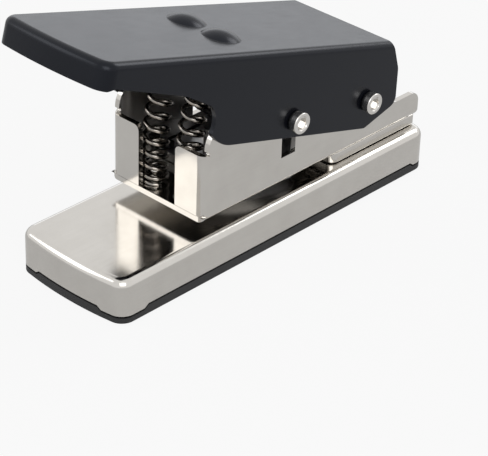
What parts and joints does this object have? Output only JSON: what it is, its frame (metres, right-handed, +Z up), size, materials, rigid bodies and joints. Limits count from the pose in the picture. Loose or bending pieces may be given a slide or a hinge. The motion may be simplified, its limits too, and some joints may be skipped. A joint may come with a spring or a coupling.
{
  "type": "guitar pick punch",
  "caption": "hand-held punch that cuts guitar picks from plastic card: a sprung lever on a folded frame presses a pick-shaped punch through a slot into a long rounded base",
  "frame": {"origin": "on the resting plane, under the middle of the bounding box with the lever raised", "axes": "+X from the finger end of the lever to the pivot end, +Y to the left of that direction, +Z up"},
  "size_m": [0.1478, 0.0512, 0.0873],
  "materials": {
    "nickel_plate": "bright nickel plate with faint brushing",
    "black_paint": "smooth satin black paint",
    "black_foot": "matt black moulded rubber",
    "spring_wire": "dark oiled spring wire",
    "tool_steel": "ground tool steel",
    "black_oxide": "blackened steel"
  },
  "bodies": {
    "base_frame": {"base_cover": "nickel_plate", "die_plate": "tool_steel", "die_screw_1": "black_oxide", "die_screw_2": "black_oxide", "die_screw_3": "black_oxide", "die_screw_4": "black_oxide", "foot_tray": "black_foot", "frame_channel": "nickel_plate", "frame_rivet_1": "nickel_plate", "frame_rivet_2": "nickel_plate", "frame_rivet_3": "nickel_plate", "frame_rivet_4": "nickel_plate", "guide_screw_1": "black_oxide", "guide_screw_2": "black_oxide", "guide_screw_3": "black_oxide", "guide_screw_4": "black_oxide", "pivot_tube": "nickel_plate", "punch_guide": "tool_steel", "rear_spacer": "nickel_plate", "return_spring_left": "spring_wire", "return_spring_right": "spring_wire", "spring_post_left": "nickel_plate", "spring_post_right": "nickel_plate"},
    "lever": {"drive_bolt": "nickel_plate", "drive_nut": "nickel_plate", "drive_tube": "nickel_plate", "drive_washer_left": "black_oxide", "drive_washer_right": "black_oxide", "pivot_bolt": "nickel_plate", "pivot_nut": "nickel_plate", "pivot_washer_left": "black_oxide", "pivot_washer_right": "black_oxide", "press_lever": "black_paint"},
    "punch": {"pick_punch": "tool_steel", "punch_yoke": "nickel_plate", "yoke_screw_front": "black_oxide", "yoke_screw_rear": "black_oxide"}
  },
  "joints": [
    {"name": "lever_press", "type": "hinge", "parent": "base_frame", "child": "lever", "pos_m": [0.04071, 0, 0.0359], "axis": [0, -1, 0], "range_deg": [0, 16], "stiffness_Nm_per_rad": 8, "springref_deg": -11.46, "deforming": ["return_spring_left", "return_spring_right"]},
    {"name": "punch_slide", "type": "slide", "parent": "base_frame", "child": "punch", "axis": [0, 0, -1], "range_m": [0, 0.0097]}
  ],
  "couplings": [
    {"joint": "punch_slide", "follows": "lever_press", "m_per_rad": 0.03448}
  ]
}
